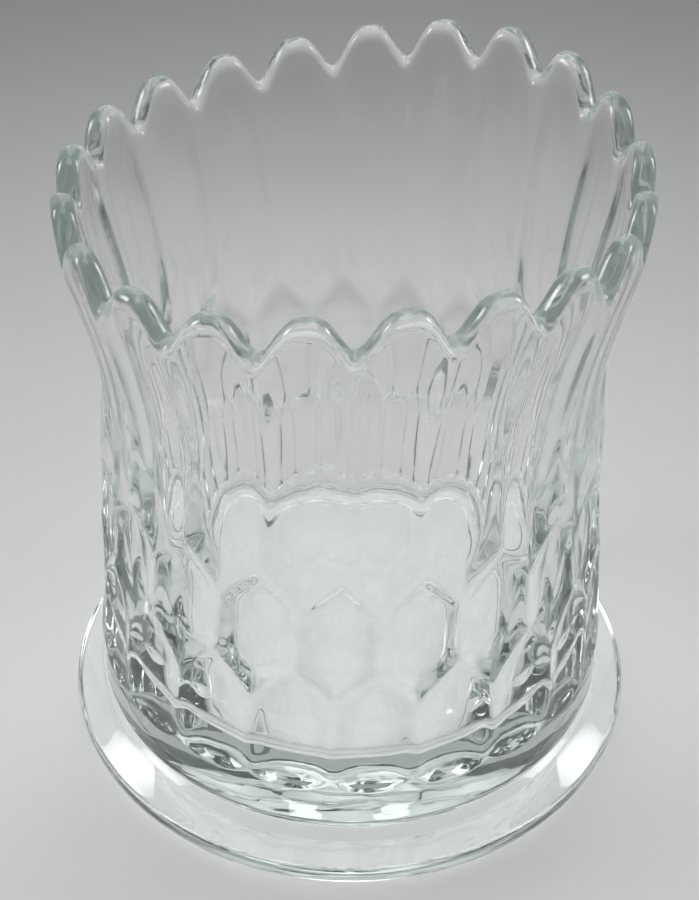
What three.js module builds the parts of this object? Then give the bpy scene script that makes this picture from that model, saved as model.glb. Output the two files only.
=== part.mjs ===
// A pressed glass vase: a hollow bowl, fluted above and honeycombed below, whose rim runs in round
// scallops, standing on a wide round foot. The two are fused while hot, so nothing moves.
// Millimetres, +Z up. The origin is the centre of the flat ring that the foot stands on.
// The front, -Y, is a valley of the rim.
import * as THREE from "three";

// Driving dimensions
const height = 128; // to the tops of the scallops, before the hand finish moves them
const footRadius = 58.2;
const waistRadius = 47.6;
const waistHeight = 88;
const rimFlare = 5.7; // how much wider than the waist the rim is
const baseFlare = 7; // how much wider than the waist the bowl would be, if it flared all the way down
const baseTop = 30; // below this height it goes straight down instead
const joinHeight = 13; // where the foot slopes up to the bowl, which is fused to it
const slopePower = 1.4; // 1 is a straight slope of the foot, and more makes it hollow
const wall = 4.6; // glass thickness from the waist up
const underHollow = 2.5; // depth of the hollow under the foot
const ringInner = 45; // inner radius of the flat ring that it stands on
const edgeHeight = 5; // height of the foot's widest line
const edgeRound = 4.2; // how far in from that line its edge is round
const edgeShoulder = 3; // how far above that line the edge would be round, if it went all the way
const edgeTurn = 0.62; // how far it does go, in radians, before the slope starts

// The pattern
const columns = 21;
const fluteDepth = 1.1;
const cellRows = 2; // rows of long hexagons, each row half a column to the side of the next
const cellSpacing = 21.5; // from one row of cells to the next
const cellPeak = 7; // how far a cell's point reaches between the two cells above it
const cellRound = 2; // how far the round lower ends of the lowest cells reach down
const cellDepth = 1.8;
const patternBottom = 21.5;
const scallopHeight = 7.2;
const scallopFullness = 1.25; // 1 is a plain wave, and more makes the scallops wider than the valleys

// The cavity
const floorHeight = 21;
const floorRadius = 40.5;
const floorCorner = 6;
const floorDish = 0.8;

// The hand finish of the rim, as waves round it: the height of each, how many crests it has, and
// the angle of one of them from the front, in degrees. The first is a lean to one side.
const rimWaves = [
  [2.8, 1, 90],
  [1.4, 2, -18],
  [1.9, 3, 18],
];

// The unevenness of the pattern, in degrees: the columns are turned a little, crowd to one side and
// twist from the rim down to the foot
const patternTurn = -1.1;
const patternDrift = 2.6;
const driftFrom = 44;
const patternTwist = 6;

// Facets
const stepsPerColumn = 8;
const steps = columns * stepsPerColumn;
const plainSteps = steps / 4; // round a smooth stretch of the cavity
const rowsPerCell = 5;
const fluteRows = [0.06, 0.16, 0.36, 0.56, 0.74, 0.88, 1];

const smooth = (t) => t * t * (3 - 2 * t);
const clamp01 = (t) => Math.min(1, Math.max(0, t));
const mix = (a, b, t) => a + (b - a) * t;
const radians = THREE.MathUtils.degToRad;

// The outer radius of the bowl along the ridges of its pattern: a waist with a flare above and
// below, and a straight stretch at the bottom.
function bowlRadius(z) {
  if (z > waistHeight)
    return waistRadius + rimFlare * smooth(clamp01((z - waistHeight) / (height - waistHeight)));
  return waistRadius + baseFlare * (1 - Math.max(z, baseTop) / waistHeight) ** 1.25;
}

// The round edge of the foot ends at this place, and the slope up to the bowl starts there.
const edgeCentre = footRadius - edgeRound;
const edgeTopRadius = edgeCentre + edgeRound * Math.cos(edgeTurn);
const edgeTop = edgeHeight + edgeShoulder * Math.sin(edgeTurn);
const footSpread = edgeTopRadius - bowlRadius(edgeTop);

// The outer radius of the foot on its slope.
function slopeRadius(z) {
  return bowlRadius(z) + footSpread * ((joinHeight - z) / (joinHeight - edgeTop)) ** slopePower;
}

// The inner radius: the plunger's slight taper up to the waist, then a wall of even thickness.
function cavityRadius(z) {
  if (z > waistHeight) return bowlRadius(z) - wall;
  return mix(floorRadius, waistRadius - wall, (z - floorHeight) / (waistHeight - floorHeight));
}

// Where an angle lies across its column: -1 and 1 on the ridges, 0 in the middle.
// Shifted columns sit half a column to the side of the flutes.
function across(angle, shifted) {
  const turns = (angle / (2 * Math.PI)) * columns + (shifted ? 0.5 : 0);
  return 2 * (turns - Math.floor(turns)) - 1;
}

const isShifted = (row) => (cellRows - row) % 2 === 1;

// The line that a row of cells stands on. The lowest one is scalloped by the round ends of its
// cells, and each other one zigzags between the cells below it and those above.
function cellLine(row, angle) {
  const base = patternBottom + row * cellSpacing;
  if (row === 0) return base + cellRound * across(angle, isShifted(0)) ** 2;
  return base + cellPeak * (1 - Math.abs(across(angle, isShifted(row - 1))));
}

// The top edge of the glass: a round scallop over each flute, with a valley between two.
function rimEdge(angle) {
  const scallop = (1 + Math.cos(Math.PI * Math.abs(across(angle, false)) ** scallopFullness)) / 2;
  return height - scallopHeight * (1 - scallop) + rimLift(angle);
}

function rimLift(angle) {
  const rise = ([high, crests, crest]) => high * Math.cos(crests * (angle - radians(crest)));
  return rimWaves.map(rise).reduce((sum, part) => sum + part);
}

// A ring of points round the axis. The front is at angle 0, and the angle grows towards +X.
function ring(count, pointAt) {
  return Array.from({ length: count }, (_, i) => {
    const angle = (2 * Math.PI * i) / count;
    const [radius, z] = pointAt(angle);
    const drift = patternDrift * Math.cos(angle - radians(driftFrom));
    const place = angle + radians(patternTurn + drift - patternTwist * (1 - z / height));
    return [radius * Math.sin(place), -radius * Math.cos(place), z];
  });
}

// The rings of one row of cells, from just above its lower line up to its upper one.
function cellRings(row) {
  return Array.from({ length: rowsPerCell }, (_, i) => {
    const share = (i + 1) / rowsPerCell;
    return ring(steps, (angle) => {
      const z = mix(cellLine(row, angle), cellLine(row + 1, angle), share);
      const u = across(angle, isShifted(row));
      const dish = cellDepth * (1 - u * u) * (1 - (2 * share - 1) ** 4);
      return [bowlRadius(z) - dish, z];
    });
  });
}

// How hollow the flutes are, some share of the way up from the cells to the rim: the hollow starts
// at the cells and mostly fades out below the rim.
function fluteHollow(angle, share) {
  const fade = smooth(clamp01(share / fluteRows[1])) * (1 - 0.75 * smooth(clamp01((share - 0.7) / 0.3)));
  return fluteDepth * (1 - across(angle, false) ** 2) * fade;
}

// The rings of the flutes, from the top line of the cells to the outside of the rim.
function fluteRings() {
  return fluteRows.map((share) =>
    ring(steps, (angle) => {
      const z = mix(cellLine(cellRows, angle), rimEdge(angle) - wall / 2, share);
      return [bowlRadius(z - rimLift(angle) * share) - fluteHollow(angle, share), z];
    }),
  );
}

// The fire-polished edge: half a circle from the outside of the rim over to the inside.
function edgeRings() {
  return [45, 90, 135].map((degrees) =>
    ring(steps, (angle) => {
      const turn = radians(degrees);
      const hollow = fluteHollow(angle, 1);
      const z = rimEdge(angle) - wall / 2;
      const outside = bowlRadius(z - rimLift(angle)) - hollow;
      const half = (wall - hollow) / 2;
      return [outside - half + half * Math.cos(turn), z + (wall / 2) * Math.sin(turn)];
    }),
  );
}

// The inside of the scallops, down to a level ring below the valleys.
function innerRimRings() {
  const level = height - scallopHeight - 12;
  return [1, 0.5].map((share) =>
    ring(steps, (angle) => {
      const z = mix(level, rimEdge(angle) - wall / 2, share);
      return [cavityRadius(z - rimLift(angle) * share), z];
    }),
  ).concat([ring(plainSteps, () => [cavityRadius(level), level])]);
}

// The rest of the cavity: its wall, the round corner at the bottom and the dished floor.
function cavityRings() {
  const wallHeights = [98, waistHeight, 62, 40, floorHeight + floorCorner];
  const corner = [22.5, 45, 67.5, 90].map((degrees) => {
    const turn = radians(degrees);
    const centre = cavityRadius(floorHeight + floorCorner) - floorCorner;
    return [centre + floorCorner * Math.cos(turn), floorHeight + floorCorner * (1 - Math.sin(turn))];
  });
  return wallHeights
    .map((z) => [cavityRadius(z), z])
    .concat(corner)
    .concat([[floorRadius / 2, floorHeight - floorDish * 0.75]])
    .map((point) => ring(plainSteps, () => point));
}

// Joins rings into one closed skin: bands between neighbours, and a fan to the axis at each end.
// Where one ring has fewer points than the next, each of its points serves several of the other's.
function skin(rings, firstCentre, lastCentre) {
  const points = [];
  const faces = [];
  const firstOf = rings.map((r) => {
    points.push(...r);
    return points.length - r.length;
  });
  for (let k = 0; k + 1 < rings.length; k++) {
    const [low, high] = [rings[k].length, rings[k + 1].length];
    const count = Math.max(low, high);
    const lowAt = (i) => firstOf[k] + (Math.floor((i * low) / count) % low);
    const highAt = (i) => firstOf[k + 1] + (Math.floor((i * high) / count) % high);
    for (let i = 0; i < count; i++) {
      const [a, b, c, d] = [lowAt(i), lowAt(i + 1), highAt(i + 1), highAt(i)];
      if (a !== b) faces.push([a, b, d]);
      if (c !== d) faces.push([b, c, d]);
    }
  }
  const fan = (r, first, centre, flip) => {
    points.push(centre);
    const middle = points.length - 1;
    for (let i = 0; i < r.length; i++) {
      const pair = [first + i, first + ((i + 1) % r.length)];
      faces.push(flip ? [middle, pair[1], pair[0]] : [middle, pair[0], pair[1]]);
    }
  };
  fan(rings[0], firstOf[0], firstCentre, true);
  fan(rings.at(-1), firstOf.at(-1), lastCentre, false);
  const geometry = new THREE.BufferGeometry();
  geometry.setAttribute("position", new THREE.Float32BufferAttribute(points.flat(), 3));
  geometry.setIndex(faces.flat());
  geometry.computeVertexNormals();
  return geometry;
}

function bowlGeometry() {
  const collar = [joinHeight, patternBottom - 2].map((z) => ring(plainSteps, () => [bowlRadius(z), z]));
  const patternFoot = ring(steps, (angle) => {
    const z = cellLine(0, angle);
    return [bowlRadius(z), z];
  });
  const cells = Array.from({ length: cellRows }, (_, row) => cellRings(row)).flat();
  const rings = [...collar, patternFoot, ...cells, ...fluteRings(), ...edgeRings(), ...innerRimRings(),
    ...cavityRings()];
  return skin(rings, [0, 0, joinHeight], [0, 0, floorHeight - floorDish]);
}

// The foot, turned from its profile: a shallow hollow underneath, a flat ring to stand on, a round
// edge and the slope up to the bowl.
function footGeometry() {
  const profile = new THREE.Path();
  profile.moveTo(0, underHollow);
  profile.lineTo(ringInner - underHollow, underHollow);
  profile.lineTo(ringInner, 0);
  profile.lineTo(edgeCentre, 0);
  profile.absellipse(edgeCentre, edgeHeight, edgeRound, edgeHeight, -Math.PI / 2, 0, false);
  profile.absellipse(edgeCentre, edgeHeight, edgeRound, edgeShoulder, 0, edgeTurn, false);
  for (const share of [0.25, 0.5, 0.75, 1]) {
    const z = mix(edgeTop, joinHeight, share);
    profile.lineTo(slopeRadius(z), z);
  }
  profile.lineTo(0, joinHeight);
  const geometry = new THREE.LatheGeometry(profile.getPoints(5), steps / 2);
  return geometry.rotateX(Math.PI / 2);
}

function glassMesh(name, geometry) {
  const material = new THREE.MeshStandardMaterial({
    color: 0xdde8e4,
    roughness: 0.04,
    metalness: 0,
    transparent: true,
    opacity: 0.35,
  });
  const mesh = new THREE.Mesh(geometry, material);
  mesh.name = name;
  return mesh;
}

const vase = new THREE.Group();
vase.add(glassMesh("bowl", bowlGeometry()), glassMesh("foot", footGeometry()));

export default vase;
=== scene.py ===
"""A pressed glass vase on a pale floor: one clear skin of glass, fluted above and honeycombed below,
with a scalloped rim and a round foot. Lengths are in millimetres until the mesh is made, in metres."""

import math

import bpy
import numpy as np
from mathutils import Matrix, Vector


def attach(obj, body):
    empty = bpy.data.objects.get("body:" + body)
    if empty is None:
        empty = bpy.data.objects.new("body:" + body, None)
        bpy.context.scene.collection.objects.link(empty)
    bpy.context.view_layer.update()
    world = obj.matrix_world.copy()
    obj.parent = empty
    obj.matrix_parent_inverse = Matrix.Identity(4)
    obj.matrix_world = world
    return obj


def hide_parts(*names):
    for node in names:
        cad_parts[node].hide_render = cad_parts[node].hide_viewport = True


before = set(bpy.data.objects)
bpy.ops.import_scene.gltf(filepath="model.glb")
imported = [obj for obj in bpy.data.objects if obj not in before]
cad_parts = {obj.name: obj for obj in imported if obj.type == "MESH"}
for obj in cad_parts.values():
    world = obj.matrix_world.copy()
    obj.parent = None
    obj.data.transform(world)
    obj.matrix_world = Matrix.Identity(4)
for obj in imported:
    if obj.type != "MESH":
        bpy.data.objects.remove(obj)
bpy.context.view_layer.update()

MM = 0.001

# The same driving dimensions as the solids
HEIGHT = 128.0
FOOT_RADIUS = 58.2
WAIST_RADIUS = 47.6
WAIST_HEIGHT = 88.0
RIM_FLARE = 5.7
BASE_FLARE = 7.0
BASE_POWER = 1.25
BASE_TOP = 30.0
SWEEP_TOP = 13.0
SWEEP_POWER = 1.4
WALL = 4.6
UNDER_HOLLOW = 2.5
RING_INNER = 45.0
EDGE_HEIGHT = 5.0
EDGE_ROUND = 4.2
EDGE_SHOULDER = 3.0
EDGE_TURN = 0.62
COLUMNS = 21
FLUTE_DEPTH = 1.1
FLUTE_START = 0.16  # the share of a flute's height in which its hollow sets in
FLUTE_FADE_FROM = 0.7  # the share from which the hollow fades into the rim
FLUTE_LEFT_AT_RIM = 0.25
CELL_ROWS = 2
CELL_SPACING = 21.5
CELL_PEAK = 7.0
CELL_ROUND = 2.0
CELL_DEPTH = 1.8
PATTERN_BOTTOM = 21.5
SCALLOP_HEIGHT = 7.2
FLOOR_HEIGHT = 21.0
FLOOR_RADIUS = 40.5
FLOOR_CORNER = 6.0
FLOOR_DISH = 0.8
RIM_WAVES = [(2.8, 1, 90), (1.4, 2, -18), (1.9, 3, 18)]
PATTERN_TURN = -1.1
PATTERN_DRIFT = 2.6
DRIFT_FROM = 44.0
PATTERN_TWIST = 6.0

# The fine mesh, and the relief that is finer here than on the solids
STEPS_PER_COLUMN = 20
STEPS = COLUMNS * STEPS_PER_COLUMN
SCALLOP_FULLNESS = 1.5  # above 1 rounds the tips and narrows the valleys
CELL_FLATNESS = 3  # how flat a cell is across, with its slopes near the ridges
CELL_ENDS = 6  # the same along its height
POLISH_PASSES = 4  # how far the fire polish rounds the pattern's ridges
CENTRE_HOLE = 4.0  # the innermost ring of the underside, which one fan of faces closes
STEP_INSET = 1.0  # how far the underside's rings stop short of the step down to the flat ring
FLAT_INSET = 0.6  # how far the flat ring's own loops keep from its rounded borders
UNDER_RINGS = 8
STEP_RINGS = 10
FLAT_RINGS = 5
EDGE_RINGS = 18
SHOULDER_RINGS = 9
COLLAR_RINGS = 28
CELL_RINGS = 26
FLUTE_RINGS = 44
RIM_RINGS = 11
WALL_RINGS = 27
CORNER_RINGS = 15
FLOOR_SHARES = (0.85, 0.7, 0.55, 0.4, 0.25, 0.1)  # of the flat floor's radius

ANGLES = np.linspace(0, 2 * math.pi, STEPS, endpoint=False)  # the front, -Y, is 0, turning to +X
DRIFT = PATTERN_TURN + PATTERN_DRIFT * np.cos(ANGLES - math.radians(DRIFT_FROM))


def smooth(t):
    t = np.clip(t, 0, 1)
    return t * t * (3 - 2 * t)


def mix(a, b, t):
    return a + (b - a) * t


def bowl_radius(z):
    """The outer radius along the ridges: a waist with a soft flare above and below."""
    above = RIM_FLARE * smooth((z - WAIST_HEIGHT) / (HEIGHT - WAIST_HEIGHT))
    below = BASE_FLARE * np.clip(1 - np.maximum(z, BASE_TOP) / WAIST_HEIGHT, 0, None) ** BASE_POWER
    return WAIST_RADIUS + above + below


EDGE_CENTRE = FOOT_RADIUS - EDGE_ROUND
EDGE_TOP_RADIUS = EDGE_CENTRE + EDGE_ROUND * math.cos(EDGE_TURN)
EDGE_TOP = EDGE_HEIGHT + EDGE_SHOULDER * math.sin(EDGE_TURN)
FOOT_SPREAD = EDGE_TOP_RADIUS - float(bowl_radius(EDGE_TOP))


def ridge_radius(z):
    """The outer radius with the slope of the foot, from its round edge up to the bowl."""
    share = np.clip((SWEEP_TOP - z) / (SWEEP_TOP - EDGE_TOP), 0, None)
    return bowl_radius(z) + FOOT_SPREAD * share**SWEEP_POWER


def cavity_radius(z):
    """The inner radius: a slight taper up to the waist, then a wall of even thickness."""
    taper = (z - FLOOR_HEIGHT) / (WAIST_HEIGHT - FLOOR_HEIGHT)
    return np.where(
        z > WAIST_HEIGHT, ridge_radius(z) - WALL, mix(FLOOR_RADIUS, WAIST_RADIUS - WALL, taper)
    )


def across(shifted):
    """Where each angle lies across its column: -1 and 1 on the ridges, 0 in the middle."""
    turns = ANGLES / (2 * math.pi) * COLUMNS + (0.5 if shifted else 0)
    return 2 * (turns - np.floor(turns + 1e-9)) - 1


def is_shifted(row):
    """Whether a row of cells is half a column out of step with the flutes."""
    return (CELL_ROWS - row) % 2 == 1


def cell_line(row):
    """The line that a row of cells stands on: round ends below, then zigzags between the rows."""
    base = PATTERN_BOTTOM + row * CELL_SPACING
    if row == 0:
        return base + CELL_ROUND * across(is_shifted(0)) ** 2
    return base + CELL_PEAK * (1 - np.abs(across(is_shifted(row - 1))))


def rim_lift():
    """How the hand finish leans and waves the rim."""
    return sum(high * np.cos(count * (ANGLES - math.radians(crest))) for high, count, crest in RIM_WAVES)


def rim_edge():
    """The height of the rim's top at every angle, with its scallops."""
    scallop = (1 + np.cos(math.pi * np.abs(across(False)) ** SCALLOP_FULLNESS)) / 2
    return HEIGHT - SCALLOP_HEIGHT * (1 - scallop) + rim_lift()


def level(radius, z):
    """One plain ring, as its radius and height at every angle."""
    return np.full(STEPS, float(radius)), np.full(STEPS, float(z))


def edge_arc(height, start, end, count):
    """Rings along the round edge of the foot, above or below its widest line."""
    turns = np.linspace(start, end, count)
    return [level(EDGE_CENTRE + EDGE_ROUND * np.cos(t), EDGE_HEIGHT + height * np.sin(t)) for t in turns]


def foot_rings():
    """The underside, the flat ring and the round edge."""
    hollow_edge = RING_INNER - UNDER_HOLLOW
    radii = np.linspace(CENTRE_HOLE, hollow_edge - STEP_INSET, UNDER_RINGS)
    under = [level(r, UNDER_HOLLOW) for r in radii]
    step = [
        level(hollow_edge + UNDER_HOLLOW * smooth(t), UNDER_HOLLOW * (1 - smooth(t)))
        for t in np.linspace(0.05, 1, STEP_RINGS)
    ]
    radii = np.linspace(RING_INNER + FLAT_INSET, EDGE_CENTRE - FLAT_INSET, FLAT_RINGS)
    flat = [level(r, 0) for r in radii]
    edge = edge_arc(EDGE_HEIGHT, -math.pi / 2, 0, EDGE_RINGS)
    shoulder = edge_arc(EDGE_SHOULDER, 0, EDGE_TURN, SHOULDER_RINGS)[1:]
    return under + step + flat + edge + shoulder


def collar_rings():
    """The sweep of the foot, from its edge up to the scalloped line at the bottom of the cells."""
    rings = []
    for t in np.linspace(0, 1, COLLAR_RINGS + 1)[1:]:
        z = mix(EDGE_TOP, cell_line(0), t)
        rings.append((ridge_radius(z), z))
    return rings


def cell_rings(row):
    """One row of cells: hollow facets between the zigzag below them and the one above."""
    rings = []
    for share in np.linspace(0, 1, CELL_RINGS + 1)[1:]:
        z = mix(cell_line(row), cell_line(row + 1), share)
        u = across(is_shifted(row))
        dish = CELL_DEPTH * (1 - np.abs(u) ** CELL_FLATNESS) * (1 - abs(2 * share - 1) ** CELL_ENDS)
        rings.append((ridge_radius(z) - dish, z))
    return rings


def flute_hollow(share):
    """The flutes' hollow, which starts at the cells and fades into the rim."""
    set_in = smooth(share / FLUTE_START)
    fade = (1 - FLUTE_LEFT_AT_RIM) * smooth((share - FLUTE_FADE_FROM) / (1 - FLUTE_FADE_FROM))
    return FLUTE_DEPTH * (1 - across(False) ** 2) * set_in * (1 - fade)


def flute_rings():
    """The flutes, from the points between the top cells up to the rim."""
    rings = []
    for share in np.linspace(0, 1, FLUTE_RINGS + 1)[1:]:
        z = mix(cell_line(CELL_ROWS), rim_edge() - WALL / 2, share)
        rings.append((ridge_radius(z - rim_lift() * share) - flute_hollow(share), z))
    return rings


def edge_rings():
    """The fire-polished edge: half a circle from the outside of the rim over to the inside."""
    z = rim_edge() - WALL / 2
    outside = ridge_radius(z - rim_lift()) - flute_hollow(1)
    half = (WALL - flute_hollow(1)) / 2
    turns = np.linspace(0, math.pi, RIM_RINGS + 2)[1:-1]
    return [(outside - half + half * np.cos(t), z + WALL / 2 * np.sin(t)) for t in turns]


def inner_rings():
    """The inside, from the rim down the smooth wall and round the corner to the dished floor."""
    low = FLOOR_HEIGHT + FLOOR_CORNER
    wall = []
    for share in np.linspace(1, 0, WALL_RINGS):
        z = mix(low, rim_edge() - WALL / 2, share)
        wall.append((cavity_radius(z - rim_lift() * share), z))
    centre = float(cavity_radius(low)) - FLOOR_CORNER
    corner = [
        level(centre + FLOOR_CORNER * math.cos(t), FLOOR_HEIGHT + FLOOR_CORNER * (1 - math.sin(t)))
        for t in np.linspace(0, math.pi / 2, CORNER_RINGS + 1)[1:]
    ]
    floor = [level(centre * r, FLOOR_HEIGHT - FLOOR_DISH * (1 - r * r)) for r in FLOOR_SHARES]
    return wall + corner + floor


def polish(radii, passes):
    """Rounds the pattern's ridges a little, as fire polish does, without moving the plain rings."""
    for _ in range(passes):
        radii = (np.roll(radii, 1, axis=1) + 2 * radii + np.roll(radii, -1, axis=1)) / 4
        radii[1:-1] = (radii[:-2] + 2 * radii[1:-1] + radii[2:]) / 4
    return radii


def glass_mesh(name):
    """The whole vase as one closed skin, from the middle of the underside to the middle of the floor."""
    pattern = cell_rings(0) + cell_rings(1) + flute_rings()
    polished = polish(np.array([r for r, _ in pattern]), POLISH_PASSES)
    pattern = [(r, z) for r, (_, z) in zip(polished, pattern)]
    rings = foot_rings() + collar_rings() + pattern + edge_rings() + inner_rings()
    radii = np.array([r for r, _ in rings])
    heights = np.array([z for _, z in rings])
    places = ANGLES + np.radians(DRIFT - PATTERN_TWIST * (1 - heights / HEIGHT))
    points = np.stack([radii * np.sin(places), -radii * np.cos(places), heights], axis=-1)
    centres = [[0, 0, UNDER_HOLLOW], [0, 0, FLOOR_HEIGHT - FLOOR_DISH]]
    vertices = np.vstack([points.reshape(-1, 3), centres]) * MM
    first = np.arange(STEPS)
    after = (first + 1) % STEPS
    faces = []
    for k in range(len(rings) - 1):
        low, high = k * STEPS, (k + 1) * STEPS
        faces += np.stack([low + first, low + after, high + after, high + first], axis=1).tolist()
    last = (len(rings) - 1) * STEPS
    under, inside = len(vertices) - 2, len(vertices) - 1
    faces += [[under, b, a] for a, b in zip(first.tolist(), after.tolist())]
    faces += [[inside, last + a, last + b] for a, b in zip(first.tolist(), after.tolist())]
    mesh = bpy.data.meshes.new(name)
    mesh.from_pydata(vertices.tolist(), [], faces)
    mesh.shade_smooth()
    return mesh


# The glass
GLASS_INDEX = 1.5
GLASS_TINT = (0.64, 0.7, 0.68, 1)
GLASS_DENSITY = 13
WAVE_SCALE = (100, 100, 20)  # waves per metre: drawn out along the height, as the mould leaves them
WAVE_STRENGTH = 0.1
WAVE_HEIGHT = 0.6 * MM
SMUDGE_SCALE = 30
SMUDGE_FROM, SMUDGE_TO = 0.45, 0.75
SMUDGE_ROUGHNESS = 0.05


def glass_material():
    """Clear pressed glass: faint waves from the mould, a hint of handling, and a cool grey-green depth."""
    material = bpy.data.materials.new("clear_glass")
    material.use_nodes = True
    nodes, links = material.node_tree.nodes, material.node_tree.links
    nodes.clear()
    output = nodes.new("ShaderNodeOutputMaterial")
    glass = nodes.new("ShaderNodeBsdfPrincipled")
    glass.inputs["Base Color"].default_value = (1, 1, 1, 1)
    glass.inputs["Transmission Weight"].default_value = 1
    glass.inputs["IOR"].default_value = GLASS_INDEX
    place = nodes.new("ShaderNodeTexCoord")

    waves = nodes.new("ShaderNodeTexNoise")
    waves.inputs["Scale"].default_value = 1
    waves.inputs["Detail"].default_value = 2
    stretch = nodes.new("ShaderNodeMapping")
    stretch.inputs["Scale"].default_value = WAVE_SCALE
    bump = nodes.new("ShaderNodeBump")
    bump.inputs["Strength"].default_value = WAVE_STRENGTH
    bump.inputs["Distance"].default_value = WAVE_HEIGHT
    links.new(place.outputs["Object"], stretch.inputs["Vector"])
    links.new(stretch.outputs["Vector"], waves.inputs["Vector"])
    links.new(waves.outputs["Fac"], bump.inputs["Height"])
    links.new(bump.outputs["Normal"], glass.inputs["Normal"])

    smudges = nodes.new("ShaderNodeTexNoise")
    smudges.inputs["Scale"].default_value = SMUDGE_SCALE
    smudges.inputs["Detail"].default_value = 5
    roughness = nodes.new("ShaderNodeMapRange")
    roughness.inputs["From Min"].default_value = SMUDGE_FROM
    roughness.inputs["From Max"].default_value = SMUDGE_TO
    roughness.inputs["To Min"].default_value = 0
    roughness.inputs["To Max"].default_value = SMUDGE_ROUGHNESS
    links.new(place.outputs["Object"], smudges.inputs["Vector"])
    links.new(smudges.outputs["Fac"], roughness.inputs["Value"])
    links.new(roughness.outputs["Result"], glass.inputs["Roughness"])

    clear = nodes.new("ShaderNodeBsdfTransparent")
    path = nodes.new("ShaderNodeLightPath")
    let_light_by = nodes.new("ShaderNodeMixShader")
    links.new(path.outputs["Is Shadow Ray"], let_light_by.inputs["Fac"])
    links.new(glass.outputs["BSDF"], let_light_by.inputs[1])
    links.new(clear.outputs["BSDF"], let_light_by.inputs[2])
    links.new(let_light_by.outputs["Shader"], output.inputs["Surface"])

    depth = nodes.new("ShaderNodeVolumeAbsorption")
    depth.inputs["Color"].default_value = GLASS_TINT
    depth.inputs["Density"].default_value = GLASS_DENSITY
    links.new(depth.outputs["Volume"], output.inputs["Volume"])
    return material


def make_vase():
    vase = bpy.data.objects.new("vase_glass", glass_mesh("vase_glass"))
    bpy.context.scene.collection.objects.link(vase)
    vase.data.materials.append(glass_material())
    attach(vase, "root")
    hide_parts("bowl", "foot")


# The stage that the vase stands on
STAGE_COLOUR = (0.8, 0.8, 0.79, 1)
STAGE_ROUGHNESS = 0.6
STAGE_HALF = 2.0  # half its width, in metres
STAGE_GAP = 0.2 * MM  # keeps it clear of the ring that stands on it


def floor_material():
    material = bpy.data.materials.new("pale_floor")
    material.use_nodes = True
    surface = material.node_tree.nodes["Principled BSDF"]
    surface.inputs["Base Color"].default_value = STAGE_COLOUR
    surface.inputs["Roughness"].default_value = STAGE_ROUGHNESS
    return material


def make_floor():
    mesh = bpy.data.meshes.new("floor")
    corners = [(x * STAGE_HALF, y * STAGE_HALF, 0) for x, y in ((-1, -1), (1, -1), (1, 1), (-1, 1))]
    mesh.from_pydata(corners, [], [(0, 1, 2, 3)])
    floor = bpy.data.objects.new("floor", mesh)
    bpy.context.scene.collection.objects.link(floor)
    floor.data.materials.append(floor_material())
    floor.location.z = -STAGE_GAP


# The studio: soft panes of a window behind the vase, a light above it and one at each side.
# Places and sizes are in metres, powers in watts and turns in degrees.
MIDDLE = (0, 0, 0.06)
WINDOW_DISTANCE = 1.2
PANE_COLUMNS = 3
PANE_ROWS = 6
PANE_TURN = 17  # between columns
PANE_RISE = 15  # between rows
LOWEST_RISE = 8
PANE_LIGHT = {"width": 0.33, "height": 0.3, "power": 0.013, "spread": 36}
TOP_LIGHT = {"place": (-0.03, -0.14, 0.5), "width": 0.28, "height": 0.22, "power": 0.33}
TOP_TARGET = (0, -0.02, 0)
LEFT_LIGHT = {"place": (-0.9, 0, 0.4), "power": 0.3}
RIGHT_LIGHT = {"place": (0.9, 0.1, 0.4), "power": 0.27}
SIDE_LIGHTS = {"target": MIDDLE, "width": 0.36, "height": 0.6, "spread": 34}
SKY_AT_HORIZON = (0.8, 0.83, 0.85, 1)
SKY_OVERHEAD = (0.7, 0.75, 0.77, 1)
SKY_TURNS = (0.1, 0.6)  # the heights on a unit sphere between which the one turns into the other
SKY_STRENGTH = 0.19
LIGHT_BOUNCES = 32  # fewer leave black edges in glass this thick


def softbox(name, place, target, width, height, power, spread=180):
    """A soft rectangular light at place, facing target, whose light keeps within spread degrees."""
    light = bpy.data.lights.new(name, "AREA")
    light.shape = "RECTANGLE"
    light.size, light.size_y = width, height
    light.energy = power
    light.spread = math.radians(spread)
    lamp = bpy.data.objects.new(name, light)
    bpy.context.scene.collection.objects.link(lamp)
    lamp.location = place
    lamp.rotation_euler = (Vector(target) - Vector(place)).to_track_quat("-Z", "Y").to_euler()


def window_panes():
    """A bright window behind the vase, which curves over it so that every pane faces it."""
    for column in range(PANE_COLUMNS):
        for row in range(PANE_ROWS):
            turn = math.radians(PANE_TURN * (column - (PANE_COLUMNS - 1) / 2))
            rise = math.radians(LOWEST_RISE + PANE_RISE * row)
            along = Vector((math.sin(turn) * math.cos(rise), math.cos(turn) * math.cos(rise), math.sin(rise)))
            place = Vector(MIDDLE) + WINDOW_DISTANCE * along
            softbox(f"pane_{column}_{row}", place, MIDDLE, **PANE_LIGHT)


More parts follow.
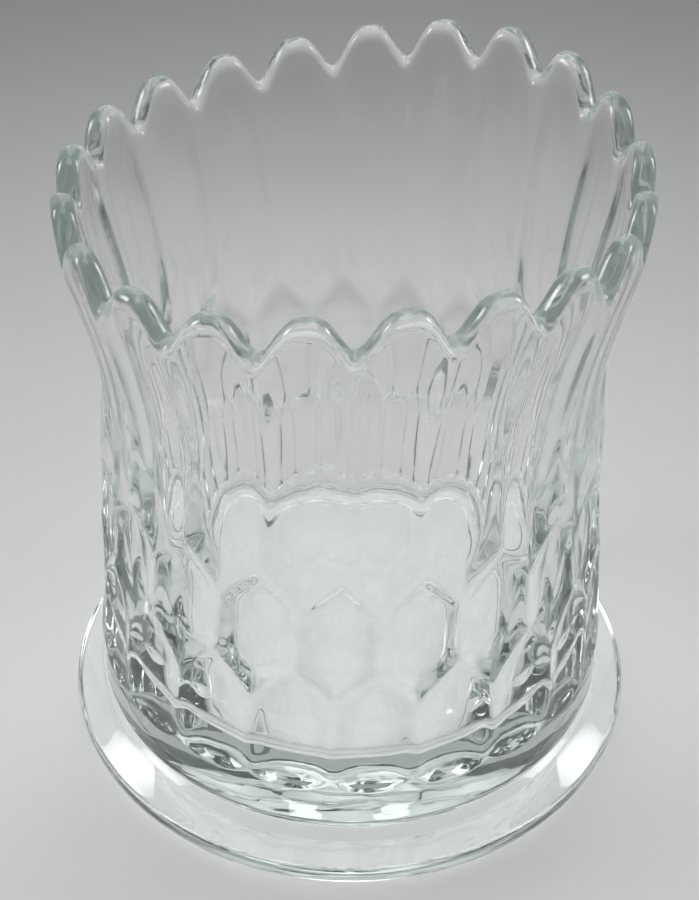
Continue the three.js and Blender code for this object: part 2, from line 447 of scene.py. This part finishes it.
def make_world():
    """A soft sky for the studio: nearly even, and a little paler at the horizon."""
    world = bpy.data.worlds.new("studio")
    world.use_nodes = True
    nodes, links = world.node_tree.nodes, world.node_tree.links
    background = nodes["Background"]
    direction = nodes.new("ShaderNodeTexCoord")
    parts = nodes.new("ShaderNodeSeparateXYZ")
    sky = nodes.new("ShaderNodeValToRGB")
    for stop, height, colour in zip(sky.color_ramp.elements, SKY_TURNS, (SKY_AT_HORIZON, SKY_OVERHEAD)):
        stop.position, stop.color = height, colour
    links.new(direction.outputs["Generated"], parts.inputs["Vector"])
    links.new(parts.outputs["Z"], sky.inputs["Fac"])
    links.new(sky.outputs["Color"], background.inputs["Color"])
    background.inputs["Strength"].default_value = SKY_STRENGTH
    bpy.context.scene.world = world


def make_lights():
    softbox("top_light", target=TOP_TARGET, **TOP_LIGHT)
    window_panes()
    softbox("left_light", **LEFT_LIGHT, **SIDE_LIGHTS)
    softbox("right_light", **RIGHT_LIGHT, **SIDE_LIGHTS)
    make_world()
    bpy.context.scene.view_settings.view_transform = "Standard"
    bpy.context.scene.cycles.max_bounces = LIGHT_BOUNCES
    bpy.context.scene.cycles.transmission_bounces = LIGHT_BOUNCES
    bpy.context.scene.cycles.glossy_bounces = LIGHT_BOUNCES


# The camera, as the photograph was taken
CAMERA_DISTANCE = 362.59 * MM
CAMERA_PITCH = math.radians(39.2)
CAMERA_AIM = 62.62 * MM  # the height on the vase's axis that it looks at
CAMERA_ROLL = math.radians(0.49)
FOCAL_PIXELS = 1850
PHOTO_HEIGHT = 900
PAN_PIXELS = 2.2


def make_camera():
    data = bpy.data.cameras.new("camera")
    data.lens = data.sensor_width * FOCAL_PIXELS / PHOTO_HEIGHT
    data.shift_x = -PAN_PIXELS / PHOTO_HEIGHT
    data.clip_start = 0.01
    camera = bpy.data.objects.new("camera", data)
    bpy.context.scene.collection.objects.link(camera)
    back = Vector((0, -math.cos(CAMERA_PITCH), math.sin(CAMERA_PITCH)))
    place = Vector((0, 0, CAMERA_AIM)) + back * CAMERA_DISTANCE
    tilt = Matrix.Rotation(math.pi / 2 - CAMERA_PITCH, 4, "X")
    camera.matrix_world = Matrix.Translation(place) @ tilt @ Matrix.Rotation(CAMERA_ROLL, 4, "Z")
    bpy.context.scene.camera = camera


make_camera()
make_vase()
make_floor()
make_lights()
